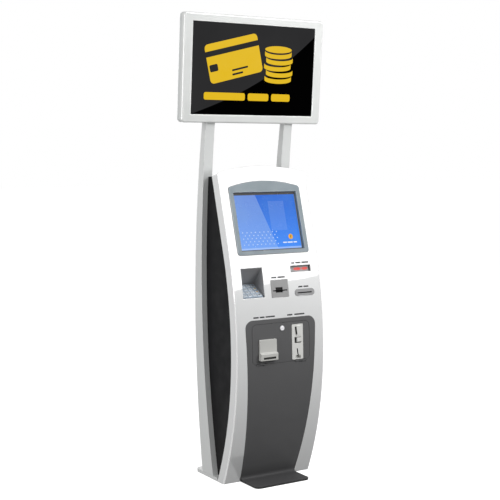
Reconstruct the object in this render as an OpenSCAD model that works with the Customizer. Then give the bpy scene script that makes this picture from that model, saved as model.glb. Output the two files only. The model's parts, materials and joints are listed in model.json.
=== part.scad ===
// Free-standing self-service payment kiosk with an overhead display.
// Millimetres. +X is the viewer's right, +Y points to the rear, +Z is up.
// The origin is on the floor, midway between the foot's front edge and the base plate's rear edge.

/* [Pedestal] */
// Width of the pedestal across the shell and the posts
body_w = 500; // [500:1:520]
// Front edge of the foot plate, measured forward from the origin
foot_front = 216; // [210:1:222]
// Rear edge of the base plate, measured back from the origin
base_rear = 216; // [216:1:230]
// Thickness of the base plate
base_t = 18; // [16:1:20]
// Width of the foot plate
foot_w = 310; // [290:1:312]
// Thickness of the foot plate
foot_t = 10; // [6:1:12]

/* [Shell] */
// Height of the shell's foremost point
belly_z = 620; // [615:1:625]
// Distance of the shell's foremost point in front of the origin
belly_y = 190; // [188:1:192]
// Radius of the front below the foremost point
low_r = 1566; // [1550:1:1580]
// Radius of the front above the foremost point
mid_r = 1850; // [1840:1:1860]
// Lean of the flat screen area, in degrees
lean = 16.2; // [16:0.1:16.4]
// Depth of the shell's side band
band = 55; // [50:1:58]
// Sheet thickness of the shell and the lower panel
skin = 3; // [2.5:0.1:3]

/* [Posts] */
// Width of a post, seen from the front
post_w = 50; // [46:1:52]
// Wall thickness of a post
post_wall = 2.5; // [2:0.1:3]

/* [Overhead display] */
// Width of the display housing
disp_w = 794; // [780:1:800]
// Height of the display housing
disp_h = 516; // [510:1:520]
// Depth of the display housing at its edge
disp_d = 52; // [50:1:54]
// Width of the visible picture
pict_w = 697; // [690:1:700]
// Height of the visible picture
pict_h = 436; // [430:1:440]
// Forward lean of the display, in degrees
disp_lean = 4.1; // [3.9:0.1:4.3]

/* [Controls] */
// Side of a PIN pad key
key_w = 20; // [18:1:21]
// Travel of a PIN pad key
key_travel = 1.8; // [1:0.1:2]
// Radius of a full paper roll
roll_r = 38; // [30:1:40]
// Clearance of a shaft or pin in its bore
fit = 0.06; // [0.02:0.01:0.1]

/* [Hidden] */
$fn = 48;
half_w = body_w/2;
post_in = half_w - post_w;

// Flat screen area: its frame starts at this height
screen_z = 1265;
flat_z = belly_z + mid_r*sin(lean);
flat_y = -belly_y + mid_r*(1 - cos(lean));
arch_peak = 281;
arch_r = 920;
top_flange = 12;

// Posts: the two arcs of the side view
rear_apex = [211, 850];
rear_r = 5300;
front_apex = [145, 1000];
front_r_up = 5600;
front_r_low = 4600;
post_bend = 1741;
post_top = -20;
post_y = [25, 64];

// Display: centre of the front face
disp_c = [52.5, 1998];

// Lower dark panel
panel_top = 808;
panel_half_top = 200;
panel_half_low = 158;
panel_corner = 40;
panel_gap = 0.8;

// Service door in the lower panel, and its hinge line
door_half = 163;
door_z = [595, 786];
door_r = 24;
door_gap = 1.2;
hinge_z = 594.5;
hinge_r = 3;
hinge_pin = 1.25;
hinge_x = [-110, 110];
knuckle = 20;

// Rear door and its hinge line
rear_z = [101, 1440];
rear_half = 195;
rear_axis = [-193, 209];
rear_hinges_z = [520, 850, 1180];
rear_knuckle = 25;
rear_pin = 2.5;
lock_x = 168;
lock_z = 850;

// Keypad niche: inclined floor from the front edge
niche_x = [-200, -80];
niche_z = [912, 1054];
niche_slope = 30;
niche_len = 114;
key_pitch = [26.5, 24];

// Components on the front, as [x, z] of their centres
card_at = [8.5, 948.5];
card_size = [98, 85];
print_at = [150, 922.5];
print_size = [114, 33];
scan_at = [141.5, 1037];
scan_size = [118, 32];
scan_deep = 9;
bill_at = [-79, 663];
bill_size = [96, 102];
bill_r = 6;
coin_at = [92.5, 687.5];
coin_size = [64, 171];
coin_r = 4;
service_lock_at = [6, 760];

KEYS = [for (row = [1:4], col = [1:4]) str("key_", row, "_", col)];

// ---------- curves ----------

function arc(c, r, a0, a1, n) =
    [for (i = [0:n]) let (a = a0 + (a1 - a0)*i/n) c + r*[cos(a), sin(a)]];
function reversed(p) = [for (i = [len(p) - 1:-1:0]) p[i]];

// Front face of the shell: y and lean at height z
function face_y(z) =
    z < belly_z ? -belly_y + low_r - sqrt(pow(low_r, 2) - pow(belly_z - z, 2))
    : z < flat_z ? -belly_y + mid_r - sqrt(pow(mid_r, 2) - pow(z - belly_z, 2))
    : flat_y + (z - flat_z)*tan(lean);
function face_a(z) =
    z < belly_z ? -asin((belly_z - z)/low_r)
    : z < flat_z ? asin((z - belly_z)/mid_r)
    : lean;

// Side view of the shell's front, d behind its outer face, from the floor to the top
function face_line(d, top = 340) = concat(
    arc([-belly_y + low_r, belly_z], low_r - d, 180 + asin(belly_z/(low_r - d)), 180, 22),
    arc([-belly_y + mid_r, belly_z], mid_r - d, 179.2, 180 - lean, 20),
    [[face_y(screen_z) + top*sin(lean) + d*cos(lean), screen_z + top*cos(lean) - d*sin(lean)]]);

// Side view of a post's edges
function rear_y(z) = rear_apex[0] - rear_r + sqrt(pow(rear_r, 2) - pow(z - rear_apex[1], 2));
function front_y(z) =
    let (r = z > front_apex[1] ? front_r_up : front_r_low)
    front_apex[0] - r + sqrt(pow(r, 2) - pow(z - front_apex[1], 2));
function heights(z0, z1, n) = [for (i = [0:n]) z0 + (z1 - z0)*i/n];
function rear_line(z0, z1, d, n = 24) = [for (z = heights(z0, z1, n)) [rear_y(z) - d, z]];
function front_line(z0, z1, d, n = 24) = [for (z = heights(z0, z1, n)) [front_y(z) + d, z]];

// A point of the display's own side view, in the kiosk's side view
function on_display(y, z) =
    disp_c + [y*cos(disp_lean) - z*sin(disp_lean), y*sin(disp_lean) + z*cos(disp_lean)];

// Outline with an arched top and rounded corners
function arch_outline(w, bottom, peak, radius, top_r, bottom_r) =
    let (cy = peak - radius,
         corner_y = cy + sqrt(pow(radius - top_r, 2) - pow(w - top_r, 2)),
         a = atan2(corner_y - cy, w - top_r))
    concat(
        arc([w - bottom_r, bottom + bottom_r], bottom_r, -90, 0, 6),
        arc([w - top_r, corner_y], top_r, 0, a, 6),
        arc([0, cy], radius, a + 1, 179 - a, 24),
        arc([-(w - top_r), corner_y], top_r, 180 - a, 180, 6),
        arc([-(w - bottom_r), bottom + bottom_r], bottom_r, 180, 270, 6));

function rect_outline(w, h, r) = concat(
    arc([w/2 - r, r - h/2], r, -90, 0, 6), arc([w/2 - r, h/2 - r], r, 0, 90, 6),
    arc([r - w/2, h/2 - r], r, 90, 180, 6), arc([r - w/2, r - h/2], r, 180, 270, 6));

// ---------- placing ----------

// A side view, as wide as 2*half in X
module across(half) {
    rotate([90, 0, 90]) translate([0, 0, -half]) linear_extrude(2*half) children();
}
module span_x(x0, x1) {
    rotate([90, 0, 90]) translate([0, 0, x0]) linear_extrude(x1 - x0) children();
}
// A front view, from y0 in front to y1 behind
module through(y0, y1) {
    translate([0, y1, 0]) rotate([90, 0, 0]) linear_extrude(y1 - y0) children();
}
// Local frame on the shell's front face: local y points into the kiosk
module on_face(at) {
    translate([at[0], face_y(at[1]), at[1]]) rotate([-face_a(at[1]), 0, 0]) children();
}
module on_screen() { on_face([0, screen_z]) children(); }
module in_display() { translate([0, disp_c[0], disp_c[1]]) rotate([disp_lean, 0, 0]) children(); }
// Local frame on the niche's floor: x across, y up the slope, z out of the floor
module on_niche() {
    translate([(niche_x[0] + niche_x[1])/2, face_y(niche_z[0]), niche_z[0]])
        rotate([niche_slope, 0, 0]) children();
}
module block(x, y, z) { translate([x[0], y[0], z[0]]) cube([x[1] - x[0], y[1] - y[0], z[1] - z[0]]); }
module rod_x(r, x, y, z) { translate([x[0], y, z]) rotate([0, 90, 0]) cylinder(r = r, h = x[1] - x[0]); }
module rod_y(r, x, y, z) { translate([x, y[1], z]) rotate([90, 0, 0]) cylinder(r = r, h = y[1] - y[0]); }

module mirror_x() {
    children();
    mirror([1, 0, 0]) children();
}

// ---------- structure ----------

module base_plate() color("gainsboro") {
    tongue = 215;
    shell_rear = -1.5;
    corner = 25;
    mid_y = (shell_rear + base_rear)/2;
    outline = concat(
        [[half_w, shell_rear]],
        arc([half_w - corner, base_rear - corner], corner, 0, 90, 8),
        arc([corner - half_w, base_rear - corner], corner, 90, 180, 8),
        [[-half_w, shell_rear], [-tongue, shell_rear], [-tongue, -50], [tongue, -50], [tongue, shell_rear]]);
    difference() {
        linear_extrude(base_t) polygon(outline);
        for (x = [-150, 150], y = [25, 195]) translate([x, y, -1]) cylinder(r = 6, h = base_t + 2);
    }
}

module post() {
    outer = concat(
        front_line(base_t, post_bend, 0),
        [on_display(post_y[0], post_top), on_display(post_y[1], post_top)],
        reversed(rear_line(base_t, post_bend + 3, 0)));
    inner = concat(
        front_line(base_t - 1, post_bend, post_wall),
        [on_display(post_y[0] + post_wall, post_top - post_wall),
         on_display(post_y[1] - post_wall, post_top - post_wall)],
        reversed(rear_line(base_t - 1, post_bend + 3, post_wall)));
    difference() {
        span_x(post_in, half_w) polygon(outer);
        span_x(post_in + post_wall, half_w - post_wall) polygon(inner);
    }
}
module left_post() color("gainsboro") mirror([1, 0, 0]) post();
module right_post() color("gainsboro") post();

cab_x = 222;
cab_t = 2;
cab_top = 1480;
module cabinet_wall() {
    inset = 8;
    low = base_t + 0.2;
    high = cab_top - 0.2;
    front = [for (p = face_line(inset)) if (p[1] > low + 2 && p[1] < high - 4) p];
    span_x(cab_x - cab_t, cab_x)
        polygon(concat(
            [[front[0][0] + 2, low]], front, [[face_y(high) + inset/cos(lean), high]],
            reversed(front_line(low, high, -0.3))));
}
module cabinet_left_wall() color("#202020") mirror([1, 0, 0]) cabinet_wall();
module cabinet_right_wall() color("#202020") cabinet_wall();

module cabinet_top() color("#202020") {
    rear = post_in - 0.4;
    front_edge = face_y(cab_top) + 60;
    block([-cab_x, cab_x], [front_edge, front_y(cab_top) - 0.5], [cab_top, cab_top + cab_t]);
    block([-rear, rear], [front_y(cab_top) - 1, rear_y(cab_top) - 5], [cab_top, cab_top + cab_t]);
    span_x(-rear, rear) polygon(concat(
        rear_line(rear_z[1] + 2, cab_top + cab_t, 4, 4),
        reversed(rear_line(rear_z[1] + 2, cab_top + cab_t, 6, 4))));
}

// The mains inlet and its rocker switch are one module on the lower rear panel
inlet_at = [100, 60];
inlet_x = [-2, 22];
rocker_x = [-22.5, -8.5];
rocker_pin = 1.2;
rocker_tilt = 8;
rear_tilt = asin((rear_apex[1] - inlet_at[1])/rear_r);
module on_rear(at) {
    translate([at[0], rear_y(at[1]) - 4, at[1]]) rotate([-rear_tilt, 0, 0]) children();
}
module rear_lower_panel() color("#202020") difference() {
    span_x(0.4 - post_in, post_in - 0.4) polygon(concat(
        rear_line(base_t + 0.2, rear_z[0] - 2, 4, 6), reversed(rear_line(base_t + 0.2, rear_z[0] - 2, 6, 6))));
    on_rear(inlet_at) block([-26.5, 26.5], [-10, 10], [-12.5, 12.5]);
}
module power_inlet() color("#181818") on_rear(inlet_at) difference() {
    union() {
        block([-30, 30], [0.1, 2.1], [-15, 15]);
        block([-26, 26], [-26, 0.2], [-12, 12]);
    }
    block(inlet_x, [-18, 3], [-8, 8]);
    block(rocker_x, [-14, 3], [-10.6, 10.6]);
    rod_x(rocker_pin + fit, [rocker_x[0] - 1.2, rocker_x[1] + 1.2], 0, 0);
}
module power_switch() color("#b02020") on_rear(inlet_at) translate([(rocker_x[0] + rocker_x[1])/2, 0, 0])
    rotate([-rocker_tilt, 0, 0]) {
        block([-6.4, 6.4], [-6, 3], [-9.6, 9.6]);
        rod_x(rocker_pin, [-8, 8], 0, 0);
    }

module door_rails() color("#303030") {
    rail = 14;
    mirror_x() span_x(post_in - rail, post_in - 0.2) polygon(concat(
        rear_line(rear_z[0] - 1, rear_z[1] + 1, 8), reversed(rear_line(rear_z[0] - 1, rear_z[1] + 1, 10))));
    for (z = rear_hinges_z) {
        block([0.2 - post_in, -195.6], [rear_y(z) - 9, rear_axis[1] + 3], [z - rear_knuckle, z - 0.2]);
        translate([rear_axis[0], rear_axis[1], z - rear_knuckle]) {
            cylinder(r = 5, h = rear_knuckle - 0.2);
            cylinder(r = rear_pin, h = 2*rear_knuckle - 2);
        }
    }
}

module rear_door() color("#262626") difference() {
    union() {
        span_x(-rear_half, rear_half) polygon(concat(
            rear_line(rear_z[0], rear_z[1], 3), reversed(rear_line(rear_z[0], rear_z[1], 5))));
        for (z = [rear_z[0], rear_z[1] - 2])
            block([-178, 178], [rear_y(z) - 18, rear_y(z) - 4.2], [z, z + 2]);
        for (z = rear_hinges_z) {
            translate([rear_axis[0], rear_axis[1], z + 0.3]) cylinder(r = 5, h = rear_knuckle - 0.3);
            block([rear_axis[0], -184], [rear_y(z) - 5, rear_axis[1] + 4], [z + 0.3, z + rear_knuckle]);
        }
    }
    for (z = rear_hinges_z) {
        translate([rear_axis[0], rear_axis[1], z - 1]) cylinder(r = rear_pin + fit, h = rear_knuckle + 2);
        block([-196, -186.5], [150, 230], [z - rear_knuckle - 1, z + 0.3]);
    }
    rod_y(6 + fit, lock_x, [190, 220], lock_z);
    for (i = [0:7], zc = [1230, 260])
        block([-70, 70], [140, 220], [zc + 14*i, zc + 14*i + 5]);
}

module rear_lock() color("silver") {
    y_face = rear_y(lock_z) - 3;
    translate([lock_x, 0, lock_z]) {
        rod_y(6, 0, [y_face - 11, y_face + 1], 0);
        rod_y(15, 0, [y_face + 0.4, y_face + 3], 0);
        block([-5.5, 5.5], [y_face + 2, y_face + 7.6], [-42, 12]);
        block([-7, 7], [y_face - 11, y_face - 8], [-7, 26]);
    }
}

// ---------- front ----------

module shell_region(d0, d1, half) {
    across(half) polygon(concat(face_line(d0), reversed(face_line(d1))));
}
module arch_prism(inset) {
    on_screen() through(-60, 700)
        polygon(arch_outline(half_w - inset, -1600, arch_peak - inset, arch_r - inset, 10, 5));
}
function panel_outline(g) =
    let (side = [for (t = [0:0.125:1])
            [panel_half_low - g + (panel_half_top - panel_half_low)*t + 3*sin(180*t),
             t*(panel_top - panel_corner)]],
         right = concat([[side[0][0], -1]], side,
            arc([panel_half_top - panel_corner, panel_top - panel_corner], panel_corner - g, 15, 90, 7)))
    concat(right, [for (p = reversed(right)) [-p[0], p[1]]]);

module shell_hole(at, size, r, grow = 0.3) {
    on_face(at) through(-20, 20) polygon(rect_outline(size[0] + 2*grow, size[1] + 2*grow, r));
}

module front_shell() color("white") difference() {
    intersection() {
        shell_region(0, band, half_w);
        arch_prism(0);
    }
    intersection() {
        shell_region(skin, band - skin, half_w - skin);
        arch_prism(skin);
    }
    // open back, inside the return flange
    intersection() {
        shell_region(band - skin - 1, band + 30, cab_x + 0.5);
        arch_prism(top_flange);
    }
    block([-half_w + skin, half_w - skin], [-200, 80], [-5, 3]);
    through(-300, -20) polygon(panel_outline(0));
    shell_hole(card_at, card_size, 3);
    shell_hole(print_at, print_size, 16);
    shell_hole(scan_at, scan_size, 3);
    on_screen() block([-183, 183], [-20, 30], [-142, 153]);
    on_face([0, (niche_z[0] + niche_z[1])/2])
        block([niche_x[0], niche_x[1]], [-20, 30], [-72, 72]);
}

module kick_panel() color("#5a5a5a") difference() {
    union() {
        intersection() {
            shell_region(0, skin, half_w);
            through(-300, 0) polygon(panel_outline(panel_gap));
        }
        intersection() {
            across(foot_w/2) foot_profile();
            linear_extrude(60) polygon(foot_outline());
        }
    }
    shell_hole([0, (door_z[0] + door_z[1])/2],
        [2*door_half + 2*door_gap, door_z[1] - door_z[0] + 2*door_gap], door_r + door_gap, 0);
    for (x = hinge_x) block([x - 1.5*knuckle - 1, x + 1.5*knuckle + 1], [-220, -170], [586, 596]);
}
function bend(p0, p1, p2) =
    [for (t = [0:0.125:1]) pow(1 - t, 2)*p0 + 2*t*(1 - t)*p1 + t*t*p2];
module foot_profile() {
    y_top = face_y(foot_t);
    polygon(concat(
        [[-foot_front, 0], [-foot_front, foot_t]],
        bend([y_top - 24, foot_t], [y_top, foot_t], [face_y(34), 34]),
        [[face_y(34) + skin, 34], [face_y(0) + skin + 1, 0]]));
}
function foot_outline() = let (r = 26, h = foot_w/2) concat(
    arc([r - h, r - foot_front], r, 180, 270, 8), arc([h - r, r - foot_front], r, 270, 360, 8),
    [[h, 0], [-h, 0]]);

module hinge_knuckles(x, offsets, r) {
    for (o = offsets) rod_x(r, [x + o - knuckle/2 + 0.2, x + o + knuckle/2 - 0.2], face_y(hinge_z), hinge_z);
}

module service_door() color("#5a5a5a") {
    difference() {
        union() {
            difference() {
                intersection() {
                    shell_region(0, skin, half_w);
                    shell_hole([0, (door_z[0] + door_z[1])/2],
                        [2*door_half, door_z[1] - door_z[0]], door_r, 0);
                }
                for (x = hinge_x, o = [-knuckle, knuckle])
                    block([x + o - knuckle/2 - 0.4, x + o + knuckle/2 + 0.4], [-220, -170], [580, 599]);
            }
            for (x = hinge_x) hinge_knuckles(x, [0], hinge_r);
        }
        for (x = hinge_x) rod_x(hinge_pin + fit, [x - knuckle, x + knuckle], face_y(hinge_z), hinge_z);
        on_face(service_lock_at) rod_y(8 + fit, 0, [-20, 20], 0);
        shell_hole(bill_at, bill_size, bill_r);
        shell_hole(coin_at, coin_size, coin_r);
    }
}

module service_hinges() color("silver") {
    y_axis = face_y(hinge_z);
    for (x = hinge_x) {
        rod_x(hinge_pin, [x - 1.5*knuckle, x + 1.5*knuckle], y_axis, hinge_z);
        hinge_knuckles(x, [-knuckle, knuckle], hinge_r);
        for (o = [-knuckle, knuckle])
            block([x + o - knuckle/2 + 0.2, x + o + knuckle/2 - 0.2],
                [y_axis, y_axis + skin + 3.6], [587, 593.5]);
        block([x - 1.5*knuckle + 0.2, x + 1.5*knuckle - 0.2],
            [y_axis + skin + 1.2, y_axis + skin + 3.6], [565, 590]);
    }
}

module service_lock() color("silver") on_face(service_lock_at) difference() {
    union() {
        rod_y(8, 0, [-2, 22], 0);
        rod_y(12, 0, [-4.5, -0.4], 0);
        block([-38, 9], [6, 9], [-7, 7]);
    }
    block([-1.2, 1.2], [-8, -2], [-5, 5]);
}

// ---------- banknotes and coins ----------

module bill_bezel() color("#c3c3be") on_face(bill_at) difference() {
    side = bill_size[0]/2;
    top = bill_size[1]/2;
    intersection() {
        across(side) polygon([
            [4, -top], [-16, -top], [-20, 3 - top], [-21, 8 - top], [-21, -20],
            [-18, -16], [-11, -12], [-9, -10], [-8, top - 3], [-5, top], [4, top]]);
        through(-30, 10) polygon(rect_outline(bill_size[0], bill_size[1], bill_r));
    }
    block([-31, 31], [-40, 20], [-38.8, -35.2]);
    block([-34, 34], [-40, -15.5], [-42, -32]);
    block([4 - side, side - 4], [-4, 20], [-28, top - 4]);
}
module bill_validator() color("#2c2c2e") difference() {
    block([-120, -26], [face_y(bill_at[1]) + 5, -37], [600, 706]);
    block([-114, -32], [-200, -175], [640, 700]);
}
module bill_cassette() color("#3c4046") difference() {
    block([-125, -25], [-34, 140], [588.2, 700]);
    block([-119, -31], [-40, 130], [612, 626]);
    block([-90, -60], [128, 150], [660, 682]);
}

module coin_plate() color("silver") on_face(coin_at) difference() {
    union() {
        through(-2, 4) polygon(rect_outline(coin_size[0], coin_size[1], coin_r));
        through(-6, -1.9) translate([8, 54]) polygon(rect_outline(30, 46, 3));
        block([-16, 20], [3, 18], [-83, -63]);
    }
    translate([-8, 0, 54]) rotate([0, -8, 0]) block([-2.6, 2.6], [-10, 10], [-19, 19]);
    block([-17, 22], [-10, 2], [-6, 22.4]);
    block([-6.9, 18.9], [-10, 10], [-0.9, 20.4]);
    translate([0, 0, -52]) rotate([0, -8, 0]) block([-3, 3], [-10, 10], [-20, 19]);
    block([-13, 17], [-10, 16], [-80, -66]);
}
module coin_return_button() color("silver") on_face(coin_at) {
    block([-6.5, 18.5], [-8, 3], [-0.5, 20]);
}
module coin_validator() color("#2c2c2e") on_face(coin_at) difference() {
    block([-31, 31], [4.6, 66], [-48, 82]);
    block([-10, 19], [0, 13], [-5, 25]);
    block([-12, -4], [0, 50], [34, 74]);
}
module coin_box() color("#3c4046") difference() {
    block([45, 150], [-168, 0], [442.2, 560]);
    block([48, 147], [-165, -3], [446, 570]);
}

// ---------- touch screen ----------

touch_open = [360, 288];
touch_open_s = 5;
module touch_bezel() color("#8c9ba0") on_screen() difference() {
    union() {
        through(-4, 0) polygon(arch_outline(203, -158, 205, 702, 15, 14));
        through(-1, 10.4) translate([0, touch_open_s])
            square([touch_open[0] + 4, touch_open[1] + 4], center = true);
    }
    through(-5, 20) translate([0, touch_open_s]) square(touch_open, center = true);
}
module touch_glass() color("#10182a") on_screen()
    through(10.6, 13.6) translate([0, touch_open_s]) polygon(rect_outline(364, 292, 2));
module touch_panel() color("#3a6fd8") on_screen() difference() {
    block([-180, 180], [13.8, 40], [-141, 151]);
    for (x = [-50, 50], z = [-45, 55]) rod_y(2, x, [30, 41], z);
}

// ---------- PIN pad ----------

niche_face = [face_y(niche_z[0]), niche_z[0]];
niche_back = niche_face + niche_len*[cos(niche_slope), sin(niche_slope)];
niche_top = [face_y(niche_z[1]), niche_z[1]];
pad_w = 110;
pad_l = 104;
pad_y = 6;

module keypad_tray() color("#8a8a8c") difference() {
    intersection() {
        span_x(niche_x[0] - 2, niche_x[1] + 2)
            polygon([niche_face - [6, 2.5], niche_back + [4, -1], niche_back + [3, 4], niche_top + [0, 3]]);
        shell_region(skin + 0.2, 200, half_w);
    }
    span_x(niche_x[0], niche_x[1])
        polygon([niche_face - [30, 10], niche_face, niche_back, niche_top, niche_top - [30, 0]]);
    on_niche() block([-pad_w/2 - 0.3, pad_w/2 + 0.3], [pad_y - 0.3, pad_y + pad_l + 0.3], [-20, 10]);
}

// Centre of a key on the niche's floor, row 1 at the top
function key_at(row, col) =
    [(col - 2.5)*key_pitch[0], pad_y + pad_l/2 + (2.5 - row)*key_pitch[1]];
key_l = 16;
module keypad_body() color("#9aa0a4") on_niche() difference() {
    union() {
        block([-pad_w/2, pad_w/2], [pad_y, pad_y + pad_l], [-14, 0.6]);
        block([-pad_w/2 + 6, pad_w/2 - 6], [pad_y + 6, pad_y + pad_l - 6], [-34, -13]);
    }
    block([-pad_w/2 + 3, pad_w/2 - 3], [pad_y + 3, pad_y + pad_l - 3], [-7 - key_travel, -2.4]);
    for (row = [1:4], col = [1:4]) let (p = key_at(row, col))
        block([p[0] - key_w/2 - 0.4, p[0] + key_w/2 + 0.4], [p[1] - key_l/2 - 0.4, p[1] + key_l/2 + 0.4], [-4, 2]);
}
module key(row, col) color("#c8ccd0") on_niche() let (p = key_at(row, col)) {
    block([p[0] - key_w/2, p[0] + key_w/2], [p[1] - key_l/2, p[1] + key_l/2], [-3, 3]);
    block([p[0] - key_w/2 - 2, p[0] + key_w/2 + 2], [p[1] - key_l/2 - 2, p[1] + key_l/2 + 2], [-5, -2.8]);
}

// ---------- card reader, scanner, printer ----------

module card_bezel() color("#969696") on_face(card_at) difference() {
    union() {
        through(-1.5, 5) polygon(rect_outline(card_size[0], card_size[1], 3));
        through(4.2, 6.4) polygon(rect_outline(card_size[0] + 12, card_size[1] + 12, 3));
    }
    block([-40, 41], [-10, 20], [-12, -7]);
    block([-25, 15], [-10, 5.2], [-19, 6]);
}
module card_reader() color("#2c2c2e") on_face(card_at) difference() {
    block([-46, 46], [6.6, 128], [-30, 32]);
    block([-41, 42], [0, 100], [-12.5, -6.5]);
}

module scanner_bezel() color("#808488") on_face(scan_at) difference() {
    union() {
        through(-0.8, scan_deep + 2) polygon(rect_outline(scan_size[0], scan_size[1], 2));
        through(4.2, 6.4) polygon(rect_outline(scan_size[0] + 12, scan_size[1] + 12, 3));
    }
    through(-5, scan_deep + 5) polygon(rect_outline(scan_size[0] - 5, scan_size[1] - 5, 1.5));
}
module scanner_module() color("#b02a20") on_face(scan_at)
    block([-54, 54], [scan_deep + 2.2, scan_deep + 44], [-14, 20]);

module printer_bezel() color("#989898") on_face(print_at) difference() {
    union() {
        through(-2, 5) polygon(rect_outline(print_size[0], print_size[1], 16));
        through(4.2, 6.4) polygon(rect_outline(print_size[0] + 10, print_size[1] + 10, 16));
    }
    block([-40.5, 40.5], [-10, 20], [-4, 1.2]);
}
print_y = face_y(print_at[1]);
platen_at = [print_y + 32, 929];
roll_at = [print_y + 128, 950];
roll_x = [108, 192];
module printer_module() color("#3a3a3c") difference() {
    union() {
        for (x = [[96, 100], [200, 204]]) block(x, [print_y + 18, print_y + 170], [884, 990]);
        block([99, 201], [print_y + 18, print_y + 170], [884, 888]);
        block([99, 201], [print_y + 18, print_y + 80], [884, 918]);
        block([99, 201], [print_y + 12, print_y + 22], [925, 950]);
        rod_x(6, [99, 201], roll_at[0], roll_at[1]);
    }
    rod_x(2 + fit, [90, 210], platen_at[0], platen_at[1]);
}
module paper_roll() color("ivory") difference() {
    rod_x(roll_r, roll_x, roll_at[0], roll_at[1]);
    rod_x(6 + fit, [90, 210], roll_at[0], roll_at[1]);
}
module platen_roller() color("#404040") {
    rod_x(6, [108, 192], platen_at[0], platen_at[1]);
    rod_x(2, [96, 204], platen_at[0], platen_at[1]);
}

// ---------- inside the cabinet ----------

module equipment_shelves() color("#9a9a9a") {
    block([-219.6, 219.6], [-24, 124], [585, 588]);
    block([0.6 - post_in, post_in - 0.6], [123, 150], [585, 588]);
    block([-219.6, 219.6], [-168, 108], [439, 442]);
}
module computer() color("#3b3b3d") difference() {
    block([-205, 15], [-130, 107], [442.2, 520]);
    for (i = [0:9]) block([-190 + 18*i, -180 + 18*i], [98, 120], [460, 505]);
}
module power_supply() color("#a8a8a8") difference() {
    block([-80, 70], [45, 120], [base_t + 0.2, 104]);
    for (i = [0:6]) block([-60 + 18*i, -52 + 18*i], [112, 130], [40, 85]);
}

// ---------- overhead display ----------

front_t = 22;
module display_frame() color("#dedfde") in_display() difference() {
    through(0, front_t) polygon(rect_outline(disp_w, disp_h, 18));
    through(-1, front_t + 1) square([pict_w, pict_h], center = true);
    through(4, front_t + 1) square([722, 460], center = true);
}
module display_panel() color("#0c0c0c") in_display() {
    block([-360, 360], [4.2, 22.1], [-229, 229]);
}
module display_rear_cover() color("#d2d4d2") in_display() {
    wall = 3;
    bulge = 275;
    bulge_top = -8;
    difference() {
        union() {
            through(front_t + 0.2, disp_d) polygon(rect_outline(disp_w, disp_h, 18));
            block([-bulge, bulge], [disp_d - 1, disp_d + 20], [-disp_h/2 + 4, bulge_top]);
        }
        through(front_t - 1, disp_d - wall)
            polygon(rect_outline(disp_w - 2*wall, disp_h - 2*wall, 15));
        block([wall - bulge, bulge - wall], [front_t, disp_d + 20 - wall], [wall + 4 - disp_h/2, bulge_top - wall]);
        mirror_x() block([post_in - 0.6, half_w + 0.6], [post_y[0] - 2, post_y[1] + 1.4], [-disp_h/2 - 5, -disp_h/2 + 12]);
        for (i = [0:11]) block([-160 + 28*i, -148 + 28*i], [disp_d - 10, disp_d + 5], [90, 130]);
    }
}
module display_bracket() color("#8a8c8e") in_display() {
    block([0.3 - post_in, post_in - 0.3], [30, 58], [-90, -50]);
    block([-110, 110], [22.2, 30.2], [-110, 110]);
    mirror_x() block([post_in - 4, post_in - 0.3], [27, 60], [-130, -30]);
}

base_plate();
left_post();
right_post();
cabinet_left_wall();
cabinet_right_wall();
cabinet_top();
rear_lower_panel();
door_rails();
rear_door();
rear_lock();
power_inlet();
power_switch();
front_shell();
kick_panel();
service_door();
service_hinges();
service_lock();
bill_bezel();
bill_validator();
bill_cassette();
coin_plate();
coin_validator();
coin_return_button();
coin_box();
touch_bezel();
touch_glass();
touch_panel();
keypad_tray();
keypad_body();
card_bezel();
card_reader();
scanner_bezel();
scanner_module();
printer_bezel();
printer_module();
paper_roll();
platen_roller();
computer();
power_supply();
equipment_shelves();
display_bracket();
display_rear_cover();
display_frame();
display_panel();
for (row = [1:4], col = [1:4])
    key(row, col);
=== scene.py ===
"""Looks of the payment kiosk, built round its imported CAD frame.

Flat space, used for whatever is cut from sheet, holds (x, depth, height) in millimetres. Depth 0 is the
outer face and positive depths lie inside the kiosk. The to_* functions carry a flat point to the row
frame, in metres.
"""
import json
import math

import bmesh
import bpy
from mathutils import Matrix, Vector


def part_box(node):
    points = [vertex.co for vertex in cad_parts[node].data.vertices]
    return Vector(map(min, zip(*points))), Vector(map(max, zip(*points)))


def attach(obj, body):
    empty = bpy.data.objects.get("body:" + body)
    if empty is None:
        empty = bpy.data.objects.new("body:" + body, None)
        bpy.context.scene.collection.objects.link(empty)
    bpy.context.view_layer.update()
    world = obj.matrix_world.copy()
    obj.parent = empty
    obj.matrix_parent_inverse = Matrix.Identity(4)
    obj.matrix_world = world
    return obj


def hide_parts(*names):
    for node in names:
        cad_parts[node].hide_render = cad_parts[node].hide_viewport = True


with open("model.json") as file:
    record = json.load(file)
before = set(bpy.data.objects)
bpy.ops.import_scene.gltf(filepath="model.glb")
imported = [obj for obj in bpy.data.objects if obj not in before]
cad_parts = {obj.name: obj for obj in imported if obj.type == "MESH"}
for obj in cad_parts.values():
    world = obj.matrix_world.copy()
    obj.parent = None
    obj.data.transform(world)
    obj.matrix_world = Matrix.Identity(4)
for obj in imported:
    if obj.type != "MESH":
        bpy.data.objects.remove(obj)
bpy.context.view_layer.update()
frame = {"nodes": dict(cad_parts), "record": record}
nodes = frame["nodes"]
body_of = {n: body for body, members in frame["record"]["behaviour"]["bodies"].items() for n in members}

MM = 0.001

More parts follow.
